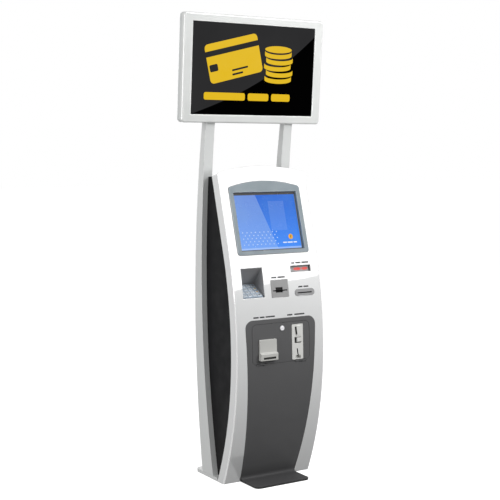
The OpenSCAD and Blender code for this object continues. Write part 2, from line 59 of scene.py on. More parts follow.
# ---------- driving sizes, in millimetres ----------
BELLY_Z, BELLY_Y = 620, -190
LOW_R, MID_R = 1566, 1850
LEAN = math.radians(16.2)
FLAT_Z = BELLY_Z + MID_R * math.sin(LEAN)
FLAT_Y = BELLY_Y + MID_R * (1 - math.cos(LEAN))
SCREEN_Z = 1265
HALF_W = 250
SKIN, BAND = 3, 55
FLANGE, TOP_FLANGE = 222.5, 12
ARCH_PEAK, ARCH_R = 281, 920
DISPLAY_Y, DISPLAY_Z = 52.5, 1998
DISPLAY_LEAN = math.radians(4.1)
DISPLAY_W, DISPLAY_H, DISPLAY_D = 794, 516, 52
DISPLAY_SEAM = 22
PICTURE_W, PICTURE_H = 697, 436
FOOT_T, FOOT_HALF, FOOT_FRONT, FOOT_R = 10, 155, -216, 26
PANEL_TOP, PANEL_CORNER = 808, 40
PANEL_LOW, PANEL_HIGH = 158, 200
DOOR_HALF, DOOR_LOW, DOOR_HIGH, DOOR_R, DOOR_GAP = 163, 595, 786, 24, 1.2
HINGE_Z, HINGE_X, KNUCKLE = 594.5, (-110, 110), 20
NICHE_X, NICHE_Z, NICHE_SLOPE = -140, 912, math.radians(30)
KEY_PITCH, KEY_TOP = (26.5, 24), 3.02
SCREEN_HOLE, NICHE_HOLE = (-183, 183, -142, 153), (-200, -80, 912.4, 1053.6)
SHOULDER_Z = 1495
VIEW_Z = 5
WALL = 3
HUMP_W, HUMP_H, HUMP_Z, HUMP_D = 550, 246, -131, DISPLAY_D + 20
# bezels: x, height, width, tallness and corner radius
CARD, PRINTER, SCANNER = (8.5, 948.5, 98, 85, 3), (150, 922.5, 114, 33, 16), (141.5, 1037, 118, 32, 3)
BILL, COIN = (-79, 663, 96, 102, 6), (92.5, 687.5, 64, 171, 4)
COIN_LEAN = 8
LOCK_X, LOCK_Z = 6, 760
# the note slot and the wider mouth before it: width, height and corner radius
NOTE_SLOT, NOTE_MOUTH, NOTE_Z, MOUTH_END = (62, 3.6, 0.6), (68, 10, 1.2), -37, -15.5
# middles of two drawn things on the screens
COIN_MIDDLE, CARD_MIDDLE = (120, -74), (-118, 52)

# from these angles on, an edge is a corner to round, or is shaded as sharp
CORNER, SHARP = math.radians(35), math.radians(38)


def face_y(z):
    """The front face of the shell: its y at height z."""
    if z < BELLY_Z:
        return BELLY_Y + LOW_R - math.sqrt(LOW_R**2 - (BELLY_Z - z) ** 2)
    if z < FLAT_Z:
        return BELLY_Y + MID_R - math.sqrt(MID_R**2 - (z - BELLY_Z) ** 2)
    return FLAT_Y + (z - FLAT_Z) * math.tan(LEAN)


def face_lean(z):
    if z < BELLY_Z:
        return -math.asin((BELLY_Z - z) / LOW_R)
    if z < FLAT_Z:
        return math.asin((z - BELLY_Z) / MID_R)
    return LEAN


# ---------- from flat space to the row frame ----------
def to_face(p):
    """Wraps a plate round the shell's curved front."""
    x, depth, z = p
    a = face_lean(z)
    return Vector((x, face_y(z) + depth * math.cos(a), z - depth * math.sin(a))) * MM


def turned_frame(x, y, z, angle):
    move = Matrix.Translation((x, y, z)) @ Matrix.Rotation(angle, 4, "X")
    return lambda p: (move @ Vector(p)) * MM


def tangent_frame(x, z):
    """Carries a flat piece to the plane that touches the front face at (x, z)."""
    return turned_frame(x, face_y(z), z, -face_lean(z))


to_screen = tangent_frame(0, SCREEN_Z)
to_display = turned_frame(0, DISPLAY_Y, DISPLAY_Z, DISPLAY_LEAN)
to_niche = turned_frame(NICHE_X, face_y(NICHE_Z), NICHE_Z, NICHE_SLOPE)


# ---------- outlines ----------
def arc(cx, cz, r, start, end, steps):
    angles = [math.radians(start + (end - start) * i / steps) for i in range(steps + 1)]
    return [(cx + r * math.cos(a), cz + r * math.sin(a)) for a in angles]


def circle(cx, cz, r, steps):
    angles = [2 * math.pi * i / steps for i in range(steps)]
    return [(cx + r * math.cos(a), cz + r * math.sin(a)) for a in angles]


def rounded(width, height, r, cx=0, cz=0, steps=6):
    w, h = width / 2 - r, height / 2 - r
    return (arc(cx + w, cz - h, r, -90, 0, steps) + arc(cx + w, cz + h, r, 0, 90, steps)
            + arc(cx - w, cz + h, r, 90, 180, steps) + arc(cx - w, cz - h, r, 180, 270, steps))


def box_outline(x0, x1, z0, z1):
    return [(x0, z0), (x1, z0), (x1, z1), (x0, z1)]


def mirrored(right):
    return right + [(-x, z) for x, z in reversed(right)]


def turned(outline, angle, x, z):
    """Turns an outline by an angle in degrees and moves it to (x, z)."""
    c, s = math.cos(math.radians(angle)), math.sin(math.radians(angle))
    return [(x + c * px - s * pz, z + s * px + c * pz) for px, pz in outline]


def arch(half, bottom, peak, radius, top_r, bottom_r):
    """An outline with an arched top and rounded corners."""
    cz = peak - radius
    corner = cz + math.sqrt((radius - top_r) ** 2 - (half - top_r) ** 2)
    turn = math.degrees(math.atan2(corner - cz, half - top_r))
    right = arc(half - top_r, corner, top_r, 0, turn, 6) + arc(0, cz, radius, turn + 1, 90, 14)[:-1]
    low = arc(half - bottom_r, bottom + bottom_r, bottom_r, -90, 0, 6) if bottom_r else [(half, bottom)]
    return mirrored(low + right + [(1, peak)])


def panel_side(gap):
    """The lower panel's right side, from the floor to its arched top corner."""
    spread = PANEL_HIGH - PANEL_LOW
    side = [(PANEL_LOW - gap + spread * t + 3 * math.sin(math.pi * t), t * (PANEL_TOP - PANEL_CORNER))
            for t in [i / 10 for i in range(11)]]
    return side + arc(PANEL_HIGH - PANEL_CORNER, PANEL_TOP - PANEL_CORNER, PANEL_CORNER - gap, 12, 90, 8)


# ---------- solids in flat space ----------
def in_scene(name, data):
    obj = bpy.data.objects.new(name, data)
    bpy.context.scene.collection.objects.link(obj)
    return obj


def to_object(bm):
    bmesh.ops.recalc_face_normals(bm, faces=bm.faces)
    mesh = bpy.data.meshes.new("part")
    bm.to_mesh(mesh)
    bm.free()
    return in_scene("part", mesh)


def extruded(ring_a, ring_b):
    bm = bmesh.new()
    a, b = ([bm.verts.new(p) for p in ring] for ring in (ring_a, ring_b))
    bm.faces.new(a)
    bm.faces.new(b)
    for i in range(len(a)):
        j = (i + 1) % len(a)
        bm.faces.new((a[i], a[j], b[j], b[i]))
    return to_object(bm)


def plate(outline, near, far):
    """A front outline of (x, height), from depth near to depth far."""
    return extruded([(x, near, z) for x, z in outline], [(x, far, z) for x, z in outline])


def bar(profile, x0, x1):
    """A side view of (depth, height), from x0 to x1."""
    return extruded([(x0, d, z) for d, z in profile], [(x1, d, z) for d, z in profile])


def block(x, depth, z):
    return plate(box_outline(*x, *z), *depth)


def lathe(profile, steps=48, centre=(0, 0)):
    """A turned part round the depth axis, from (radius, depth) pairs."""
    bm = bmesh.new()
    rings = []
    for r, depth in profile:
        points = circle(*centre, r, steps) if r else [centre]
        rings.append([bm.verts.new((x, depth, z)) for x, z in points])
    for a, b in zip(rings, rings[1:]):
        for i in range(steps):
            j = (i + 1) % steps
            quad = [a[i % len(a)], a[j % len(a)], b[j % len(b)], b[i % len(b)]]
            bm.faces.new(list(dict.fromkeys(quad)))
    for end in (rings[0], rings[-1]):
        if len(end) > 1:
            bm.faces.new(end)
    return to_object(bm)


def rod(x0, x1, r, depth, z):
    return bar(circle(depth, z, r, 24), x0, x1)


def drop(obj):
    mesh = obj.data
    bpy.data.objects.remove(obj)
    bpy.data.meshes.remove(mesh)


def edit(obj, work):
    bm = bmesh.new()
    bm.from_mesh(obj.data)
    bm.normal_update()
    work(bm)
    bm.to_mesh(obj.data)
    bm.free()
    return obj


def faced_out(obj):
    """Points the faces outwards again, after the piece was carried through a mirrored frame."""
    return edit(obj, lambda bm: bmesh.ops.recalc_face_normals(bm, faces=bm.faces))


def combined(base, tools, operation):
    for tool in tools:
        step = base.modifiers.new("combine", "BOOLEAN")
        step.operation, step.solver, step.object = operation, "EXACT", tool
    shown = base.evaluated_get(bpy.context.evaluated_depsgraph_get())
    mesh = bpy.data.meshes.new_from_object(shown)
    base.modifiers.clear()
    old, base.data = base.data, mesh
    bpy.data.meshes.remove(old)
    for tool in tools:
        drop(tool)

    def clean(bm):
        bmesh.ops.remove_doubles(bm, verts=bm.verts, dist=0.002)
        bmesh.ops.dissolve_limit(bm, angle_limit=0.002, verts=bm.verts, edges=bm.edges)
    return edit(base, clean)


def cut(base, *tools):
    return combined(base, tools, "DIFFERENCE")


def add(base, *tools):
    return combined(base, tools, "UNION")


def joined(*parts):
    """Separate solids as one piece."""
    bm = bmesh.new()
    for part in parts:
        bm.from_mesh(part.data)
        drop(part)
    return to_object(bm)


def rim_at(depth, pick=lambda x, z: True):
    """Picks the edges of the rim at one depth, by the (x, z) of their middles."""
    def chosen(edge):
        a, b = (v.co for v in edge.verts)
        middle = (a + b) / 2
        return abs(a.y - depth) < 0.01 and abs(b.y - depth) < 0.01 and pick(middle.x, middle.z)
    return chosen


def softened(obj, pick, size, segments=3, polish=1.0):
    """Rounds the picked corner edges and marks how far rubbing hands have polished the new faces."""
    def is_corner(edge):
        return len(edge.link_faces) == 2 and edge.calc_face_angle(0) > CORNER

    def work(bm):
        polished = bm.faces.layers.float.get("polished") or bm.faces.layers.float.new("polished")
        edges = [e for e in bm.edges if is_corner(e) and pick(e)]
        made = bmesh.ops.bevel(bm, geom=edges, offset=size, segments=segments, profile=0.5, affect="EDGES",
                               clamp_overlap=False)
        for face in made["faces"]:
            face[polished] = polish
    return edit(obj, work)


def wrapped(obj, carry, cuts=()):
    """Slices the piece at these heights, so that it can curve, and carries it to the row frame."""
    def work(bm):
        for z in cuts:
            bmesh.ops.bisect_plane(bm, geom=bm.verts[:] + bm.edges[:] + bm.faces[:], dist=0.001,
                                   plane_co=(0, 0, z), plane_no=(0, 0, 1))
        for v in bm.verts:
            v.co = carry(v.co)
    return edit(obj, work)


def floor_cut(obj):
    """Cuts a carried piece off at the floor and closes it there."""
    def work(bm):
        bmesh.ops.bisect_plane(bm, geom=bm.verts[:] + bm.edges[:] + bm.faces[:], dist=1e-6,
                               plane_co=(0, 0, 0), plane_no=(0, 0, -1), clear_outer=True)
        bmesh.ops.contextual_create(bm, geom=[e for e in bm.edges if e.is_boundary])
        bmesh.ops.recalc_face_normals(bm, faces=bm.faces)
    return edit(obj, work)


def even_normals(obj):
    obj.modifiers.new("even_normals", "WEIGHTED_NORMAL").keep_sharp = True


def piece(obj, name, material, node, instead_of=()):
    """Names a carried piece, gives it its material and lets it ride with the body of a CAD node."""
    obj.name = obj.data.name = name
    obj.data.materials.clear()
    obj.data.materials.append(material)
    for face in obj.data.polygons:
        face.use_smooth = True
    obj.data.set_sharp_from_angle(angle=SHARP)
    even_normals(obj)
    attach(obj, body_of[node])
    if instead_of:
        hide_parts(*instead_of)


# ---------- materials ----------
def srgb(r, g, b):
    """A linear colour from 0-255 screen values."""
    def linear(c):
        c /= 255
        return c / 12.92 if c <= 0.04045 else ((c + 0.055) / 1.055) ** 2.4
    return (linear(r), linear(g), linear(b), 1)


def fill(tree, socket, value):
    """Gives a socket its value, which is a number, a colour or another socket."""
    if isinstance(value, bpy.types.NodeSocket):
        tree.links.new(value, socket)
    else:
        socket.default_value = value


def new_node(tree, kind, inputs=None, **settings):
    node = tree.nodes.new(kind)
    for key, value in settings.items():
        setattr(node, key, value)
    for socket, value in (inputs or {}).items():
        fill(tree, node.inputs[socket], value)
    return node


class Finish:
    """A material whose nodes are added by short calls."""

    def __init__(self, name, **fixed):
        self.material = bpy.data.materials.new(name)
        self.material.use_nodes = True
        self.tree = self.material.node_tree
        self.shader = self.tree.nodes["Principled BSDF"]
        self.place = self.add("ShaderNodeTexCoord").outputs["Object"]
        self.set(**fixed)

    def add(self, kind, inputs=None, **settings):
        return new_node(self.tree, kind, inputs, **settings)

    def set(self, **values):
        for key, value in values.items():
            fill(self.tree, self.shader.inputs[key.replace("_", " ").title().replace("Ior", "IOR")], value)

    def scaled(self, x, y, z):
        return self.add("ShaderNodeMapping", {"Vector": self.place, "Scale": (x, y, z)}).outputs["Vector"]

    def noise(self, scale, detail=3.0, roughness=0.5, place=None):
        inputs = {"Vector": place or self.place, "Scale": scale, "Detail": detail, "Roughness": roughness}
        return self.add("ShaderNodeTexNoise", inputs).outputs["Fac"]

    def blend(self, noise, low, high, start=0.3, end=0.7):
        return self.fit(self.noise(*noise), low, high, start, end)

    def cells(self, scale):
        return self.add("ShaderNodeTexVoronoi", {"Vector": self.place, "Scale": scale}).outputs

    def fit(self, value, low, high, start=0.3, end=0.7):
        """Maps a value from the range start..end to low..high."""
        inputs = {"Value": value, "From Min": start, "From Max": end, "To Min": low, "To Max": high}
        return self.add("ShaderNodeMapRange", inputs).outputs["Result"]

    def calc(self, operation, a, b=0.0):
        return self.add("ShaderNodeMath", {0: a, 1: b}, operation=operation).outputs[0]

    def times(self, a, b):
        return self.calc("MULTIPLY", a, b)

    def dot(self, a, b):
        return self.add("ShaderNodeVectorMath", {0: a, 1: b}, operation="DOT_PRODUCT").outputs["Value"]

    def along(self, direction, offset=0.0):
        """How far the place lies along a direction past the offset, in metres."""
        return self.calc("ADD", self.dot(self.place, direction), -offset)

    def away(self, value, middle):
        """How far a value lies from a middle value, to either side."""
        return self.calc("ABSOLUTE", self.calc("ADD", value, -middle))

    def mix(self, share, a, b):
        return self.add("ShaderNodeMix", {0: share, 6: a, 7: b}, data_type="RGBA").outputs[2]

    def bump(self, height, depth):
        inputs = {"Height": height, "Distance": depth, "Strength": 1.0}
        return self.add("ShaderNodeBump", inputs).outputs["Normal"]

    def edges(self):
        """1 on corners and edges, 0 on flat ground."""
        round_normal = self.add("ShaderNodeBevel", {"Radius": 0.0015}, samples=4).outputs["Normal"]
        plain = self.add("ShaderNodeNewGeometry").outputs["Normal"]
        return self.fit(self.dot(round_normal, plain), 1.0, 0.0, 0.80, 0.99)


def shade_of(colour, share):
    return tuple(c * share for c in colour[:3]) + (1,)


WHITE = (1, 1, 1, 1)
ACROSS, INWARD, UP = (1, 0, 0), (0, 1, 0), (0, 0, 1)
# The second colour here and the second reach are for painted shade on the lower panel's foot
DUST, FOOT_SHADE_DARK, PICTURE_BLACK = srgb(150, 143, 132), srgb(24, 24, 26), srgb(1, 1, 1)
DUST_REACH, FOOT_SHADE_REACH = 0.45, 0.08


def paint(name, colour, rough, coat=0.0, coat_rough=0.05, peel=0.00002, grain=650, worn=None, dust=0.03,
          shine=0.5, foot_shade=0.0):
    """Paint: orange peel, faint blotches, dust low down, rubbed corners and, on request, painted shade on
    the foot and along its rim.
    """
    f = Finish(name, coat_weight=coat, coat_roughness=coat_rough, specular_ior_level=shine)
    if coat:
        polished = f.add("ShaderNodeAttribute", attribute_name="polished").outputs["Fac"]
        f.set(coat_ior=f.fit(polished, 1.6, 5.0, 0, 1))
    base = f.mix(f.blend((3.5, 4), 0, 1), shade_of(colour, 0.965), colour)
    base = f.mix(f.blend((1400, 2), 0, 0.5), base, shade_of(colour, 0.93))
    height = f.along(UP)
    low = f.times(f.fit(height, dust, 0, 0.0, DUST_REACH), f.blend((38, 5, 0.65), 0.3, 1))
    base = f.mix(low, base, DUST)
    if foot_shade:
        # Painted shade: darker paint on the foot that fades out a little way above it, and full dark along
        # the foot's rim
        foot_shading = f.fit(height, foot_shade, 0, FOOT_T * MM, FOOT_SHADE_REACH)
        rim = f.fit(height, 1, 0, (FOOT_T - 1.2) * MM, (FOOT_T - 0.3) * MM)
        base = f.mix(f.calc("MAXIMUM", foot_shading, rim), base, FOOT_SHADE_DARK)
    if worn:
        rubbed = f.times(f.edges(), f.blend((60, 4), 0, 0.55, 0.42, 0.62))
        base = f.mix(rubbed, base, worn)
    f.set(base_color=base, roughness=f.blend((14, 5), rough * 0.86, rough * 1.14))
    f.set(normal=f.bump(f.noise(grain, 2), peel))
    return f.material


def plastic(name, colour, rough):
    f = Finish(name, coat_roughness=0.1, coat_ior=2.2)
    f.set(coat_weight=f.add("ShaderNodeAttribute", attribute_name="polished").outputs["Fac"])
    grain = f.cells(1600)["Distance"]
    base = f.mix(f.blend((9, 4), 0, 1), shade_of(colour, 0.93), colour)
    base = f.mix(f.fit(grain, 0.22, 0, 0.1, 0.7), base, shade_of(colour, 0.86))
    f.set(base_color=base, roughness=f.blend((25, 4), rough * 0.85, rough * 1.15))
    f.set(normal=f.bump(grain, 0.00003))
    return f.material


def metal(name, colour, rough, stroke=(20, 20, 1400), depth=0.00001, smudge=0.1, metallic=1.0):
    """Metal with fine strokes across the given scales, and handling marks."""
    f = Finish(name, metallic=metallic)
    strokes = f.noise(1, 3, 0.6, f.scaled(*stroke))
    base = f.mix(f.fit(strokes, 0, 1, 0.25, 0.75), shade_of(colour, 0.84), colour)
    base = f.mix(f.blend((16, 4), 0, smudge), base, shade_of(colour, 0.55))
    f.set(base_color=base, roughness=f.calc("ADD", f.fit(strokes, rough * 0.8, rough * 1.2),
                                            f.blend((22, 5), 0, 0.08)))
    f.set(normal=f.bump(strokes, depth))
    return f.material


def rubber(name, colour):
    f = Finish(name)
    bloom = tuple(c + (1 - c) * 0.04 for c in colour)
    f.set(base_color=f.mix(f.blend((120, 5), 0, 1), colour, bloom))
    f.set(roughness=f.blend((45, 3), 0.62, 0.8), normal=f.bump(f.noise(2200, 3), 0.00004))
    return f.material


def zinc(name):
    """Galvanised sheet with its spangle."""
    f = Finish(name, metallic=1.0)
    grey = f.add("ShaderNodeRGBToBW", {"Color": f.cells(95)["Color"]}).outputs["Val"]
    f.set(base_color=f.mix(grey, srgb(150, 152, 155), srgb(196, 198, 200)))
    f.set(roughness=f.fit(grey, 0.32, 0.5, 0, 1), normal=f.bump(f.noise(400, 3), 0.00002))
    return f.material


def paper_roll(name, axis_y, axis_z):
    """Thermal paper wound on a roll: the layers show on its ends."""
    f = Finish(name, roughness=0.75)
    squares = [f.times(away, away) for away in (f.along(INWARD, axis_y), f.along(UP, axis_z))]
    radius = f.calc("SQRT", f.calc("ADD", *squares))
    layer = f.calc("PINGPONG", f.times(radius, 2600), 1.0)
    layer = f.times(layer, f.blend((160, 3), 0.5, 1))
    f.set(base_color=f.mix(layer, srgb(246, 243, 233), srgb(214, 208, 193)))
    f.set(normal=f.bump(f.noise(900, 4), 0.00003))
    return f.material


def glow(name, colour):
    """A lit part of a picture, with the screen's pixel pitch in it."""
    f = Finish(name, base_color=(0, 0, 0, 1), emission_strength=1.0, specular_ior_level=0.05)
    pitch = f.cells(1500)["Distance"]
    f.set(emission_color=f.mix(f.fit(pitch, 0, 0.12, 0.1, 0.8), colour, shade_of(colour, 0.6)))
    f.set(roughness=f.blend((20, 3), 0.2, 0.3))
    return f.material


def on_front_only(f, front, lean):
    """Lights a panel's front face. Its sides and back are a dark metal case."""
    inward = (0, math.cos(lean), -math.sin(lean))
    depth = f.along(inward, front.dot(Vector(inward)))
    shown = f.fit(depth, 1, 0, 0.0003, 0.0006)
    case = f.mix(f.blend((30, 4), 0, 1), srgb(58, 60, 62), srgb(70, 72, 74))
    f.set(emission_strength=shown, base_color=f.mix(shown, case, PICTURE_BLACK))
    return f.material


def touch_picture(name):
    """A blue start screen: lighter towards the bottom, with a painted sheen, a slanted pale band, on its
    left.
    """
    up = (0, math.sin(LEAN), math.cos(LEAN))
    centre = to_screen((0, 0, 3))
    f = Finish(name, specular_ior_level=0.05)
    across = f.along(ACROSS)
    height = f.along(up, centre.dot(Vector(up)))
    blue = f.mix(f.fit(height, 0, 1, 0.135, -0.135), srgb(42, 103, 214), srgb(70, 146, 252))
    deep = f.times(f.blend((9, 2), 0, 0.5), f.fit(height, 0, 1, -0.08, 0.05))
    blue = f.mix(deep, blue, srgb(66, 128, 218))
    window = f.calc("MAXIMUM", f.calc("DIVIDE", f.away(across, 0.062), 0.046),
                    f.calc("DIVIDE", f.away(height, 0.030), 0.074))
    blue = f.mix(f.fit(window, 0.10, 0, 0.97, 1.0), blue, srgb(190, 215, 245))
    # Painted sheen: a pale band left of a slanted line, standing in for a reflection on the screen
    slant = f.calc("ADD", across, f.times(height, 0.34))
    pale = f.times(f.fit(slant, 1, 0, -0.0052, -0.0042), f.fit(across, 0.30, 0.24, -0.17, 0.04))
    blue = f.mix(pale, blue, srgb(190, 216, 244))
    foot = f.fit(height, 1, 0, -0.1265, -0.1255)
    blue = f.mix(f.times(foot, 0.45), blue, srgb(205, 226, 255))
    # Painted light: the picture's side edges glow in the grey-blue of the bezel's lit inner wall, standing
    # in for that wall
    blue = f.mix(f.fit(f.away(across, 0.003), 0, 1, 0.1715, 0.1725), blue, srgb(112, 120, 127))
    border = f.fit(f.calc("ABSOLUTE", height), 0, 1, 0.1345, 0.1355)
    f.set(emission_color=f.mix(border, blue, srgb(80, 78, 77)), roughness=f.blend((30, 3), 0.25, 0.35))
    return on_front_only(f, to_screen((0, 13.8, 0)), LEAN)


def overhead_picture(name):
    """A dark attract screen: black, with a painted sheen of dark grey above a rising curve."""
    up = (0, -math.sin(DISPLAY_LEAN), math.cos(DISPLAY_LEAN))
    centre = to_display((0, 0, 0))
    f = Finish(name, specular_ior_level=0.0)
    across, height = f.along(ACROSS), f.along(up, centre.dot(Vector(up)))
    # Painted sheen: the zone above the rising curve glows dark grey instead of black, standing in for a
    # reflection on the screen
    share = f.fit(across, 0, 1, -0.36, 0.35)
    rise = f.calc("ADD", f.times(share, 0.245), f.times(f.calc("POWER", share, 2.6), 0.155))
    above = f.fit(f.calc("SUBTRACT", height, f.calc("ADD", rise, -0.222)), 0, 1, -0.0006, 0.0006)
    painted_sheen = f.mix(f.blend((5, 2), 0, 1), srgb(43, 43, 44), srgb(47, 47, 48))
    f.set(emission_color=f.mix(above, PICTURE_BLACK, painted_sheen), roughness=f.blend((30, 3), 0.18, 0.26))
    return on_front_only(f, to_display((0, 4.2, 0)), -DISPLAY_LEAN)


def scanner_window(name, x, y, z):
    """The barcode scanner's window: its red light glows in two soft patches on the front."""
    f = Finish(name, emission_strength=1.0, specular_ior_level=0.1)
    height = f.calc("DIVIDE", f.along(UP, z), 0.0078)

    def rounding(value):
        return f.calc("POWER", f.calc("ABSOLUTE", value), 2.4)

    def patch(middle, half):
        side = f.calc("DIVIDE", f.along(ACROSS, middle), half)
        return f.fit(f.calc("ADD", rounding(side), rounding(height)), 1, 0, 0.45, 1.15)

    lit = f.calc("MAXIMUM", patch(x - 0.014, 0.024), patch(x + 0.030, 0.019))
    lit = f.times(lit, f.blend((170, 3), 0.55, 1.0))
    front = f.fit(f.along(INWARD, y), 1, 0, 0.011, 0.014)
    lit = f.times(lit, front)
    grey = f.mix(front, srgb(58, 60, 62), srgb(176, 176, 176))
    f.set(base_color=f.mix(lit, grey, srgb(176, 40, 30)), roughness=f.blend((50, 3), 0.35, 0.5))
    f.set(emission_color=f.mix(lit, (0, 0, 0, 1), srgb(206, 56, 40)))
    return f.material


def clear_glass(name):
    """Touch glass: it shows the picture behind it and keeps a faint gloss."""
    f = Finish(name, roughness=0.08)
    smear = f.blend((24, 5, 0.6), 0.05, 0.16)
    gloss = f.add("ShaderNodeBsdfGlossy", {"Color": WHITE, "Roughness": smear}).outputs["BSDF"]
    through = f.add("ShaderNodeBsdfTransparent", {"Color": (0.96, 0.97, 0.98, 1)}).outputs["BSDF"]
    edge = f.add("ShaderNodeFresnel", {"IOR": 1.03}).outputs["Fac"]
    both = f.add("ShaderNodeMixShader", {0: edge, 1: through, 2: gloss}).outputs["Shader"]
    f.tree.links.new(both, f.tree.nodes["Material Output"].inputs["Surface"])
    f.tree.nodes.remove(f.shader)
    return f.material


SHELL_WHITE = paint("shell_paint", srgb(238, 239, 239), 0.34, coat=1.0, coat_rough=0.02, peel=0.000008)
POST_PAINT = paint("post_paint", srgb(226, 228, 227), 0.42, coat=0.8, coat_rough=0.08, peel=0.00001)
# The lower panel carries painted shade on its foot and along the foot's rim
PANEL_PAINT = paint("panel_paint", srgb(98, 98, 99), 0.6, peel=0.00005, grain=900,
                    worn=srgb(150, 150, 150), dust=0, shine=0.25, foot_shade=0.42)
CABINET_PAINT = paint("cabinet_paint", srgb(20, 20, 22), 0.6, peel=0.00005, grain=900,
                      worn=srgb(80, 80, 81), shine=0.12)
CASH_PAINT = paint("cash_box_paint", srgb(62, 68, 76), 0.5, peel=0.00006, grain=700,
                   worn=srgb(140, 142, 145))
NICHE_PAINT = paint("niche_paint", srgb(152, 152, 154), 0.5, peel=0.00004, grain=900)
DISPLAY_PLASTIC = plastic("display_plastic", srgb(226, 228, 226), 0.42)
DISPLAY_COVER = plastic("display_cover", srgb(212, 215, 214), 0.5)
BEZEL_PLASTIC = plastic("bezel_plastic", srgb(115, 130, 138), 0.4)
# Painted shade: dark rubber for a thin ring behind the touch bezel's edge, giving it the dark outline of
# its shade
EDGE_SHADE_RUBBER = rubber("edge_shade_rubber", srgb(44, 48, 52))
BLACK_PLASTIC = plastic("black_plastic", srgb(30, 30, 32), 0.45)
ROCKER_PLASTIC = plastic("rocker_plastic", srgb(170, 26, 24), 0.3)
BILL_PLASTIC = plastic("bill_plastic", srgb(211, 211, 207), 0.38)
READER_PLASTIC = plastic("reader_plastic", srgb(158, 158, 158), 0.45)
PRINTER_FRAME = plastic("printer_frame", srgb(60, 60, 63), 0.5)
PRINTER_PLASTIC = plastic("printer_plastic", srgb(156, 156, 157), 0.42)
SCANNER_FRAME = plastic("scanner_frame", srgb(138, 140, 142), 0.45)
COIN_METAL = metal("coin_metal", srgb(220, 220, 217), 0.42, stroke=(1500, 30, 30), metallic=0.55)
LOCK_CHROME = metal("lock_chrome", srgb(250, 250, 252), 0.3, depth=0.000003, smudge=0.04, metallic=0.6)
HINGE_STEEL = metal("hinge_steel", srgb(176, 178, 180), 0.35, stroke=(900, 40, 40))
PAD_STEEL = metal("pad_steel", srgb(186, 200, 214), 0.5, stroke=(1300, 30, 30), metallic=0.35)
KEY_STEEL = metal("key_steel", srgb(230, 238, 246), 0.45, stroke=(1300, 30, 30), metallic=0.3)
# Painted shade: near-black plastic in slots, throats and the coin cup, where their depth lies in shade
SLOT_SHADE_BLACK = plastic("slot_shade_black", srgb(9, 9, 9), 0.75)
ZINC = zinc("zinc_sheet")
PLATEN = rubber("platen_rubber", srgb(48, 48, 50))
FOOT_RUBBER = rubber("foot_rubber", srgb(18, 18, 19))
GLASS = clear_glass("touch_glass")


# ---------- CAD nodes that stay as they are ----------
def modifier_tree(name, build):
    tree = bpy.data.node_groups.new(name, "GeometryNodeTree")
    tree.is_modifier = True
    for way in ("INPUT", "OUTPUT"):
        tree.interface.new_socket("Geometry", in_out=way, socket_type="NodeSocketGeometry")
    start, end = tree.nodes.new("NodeGroupInput"), tree.nodes.new("NodeGroupOutput")
    tree.links.new(build(tree, start.outputs[0]), end.inputs[0])
    return tree


def weld(tree, geometry):
    merged = new_node(tree, "GeometryNodeMergeByDistance", {"Geometry": geometry, "Distance": 2e-6})
    inputs = {"Geometry": merged.outputs["Geometry"], "Name": "custom_normal"}
    plain = new_node(tree, "GeometryNodeRemoveAttribute", inputs)
    return new_node(tree, "GeometryNodeSetShadeSmooth", {0: plain.outputs["Geometry"]}).outputs[0]


def keep_corners(tree, geometry):
    angle = new_node(tree, "GeometryNodeInputMeshEdgeAngle").outputs["Unsigned Angle"]
    sharp = new_node(tree, "FunctionNodeCompare", {0: angle, 1: SHARP}, data_type="FLOAT",
                     operation="GREATER_THAN").outputs[0]
    inputs = {0: geometry, "Selection": sharp, "Shade Smooth": False}
    return new_node(tree, "GeometryNodeSetShadeSmooth", inputs, domain="EDGE").outputs[0]


WELD = modifier_tree("weld", weld)
KEEP_CORNERS = modifier_tree("keep_corners", keep_corners)


def dressed(node, material, radius=0.0, segments=2):
    """Gives a CAD node its material and, by modifiers, clean facets and rounded corners."""
    obj = nodes[node]
    obj.material_slots[0].material = material
    obj.modifiers.new("weld", "NODES").node_group = WELD
    flat = obj.modifiers.new("flat_faces", "DECIMATE")
    flat.decimate_type, flat.angle_limit = "DISSOLVE", math.radians(0.2)
    if radius:
        bevel = obj.modifiers.new("corners", "BEVEL")
        bevel.width, bevel.segments = radius * MM, segments
        bevel.limit_method, bevel.angle_limit = "ANGLE", CORNER
    obj.modifiers.new("keep_corners", "NODES").node_group = KEEP_CORNERS
    even_normals(obj)


KEYS = [(row, col) for row in range(1, 5) for col in range(1, 5)]


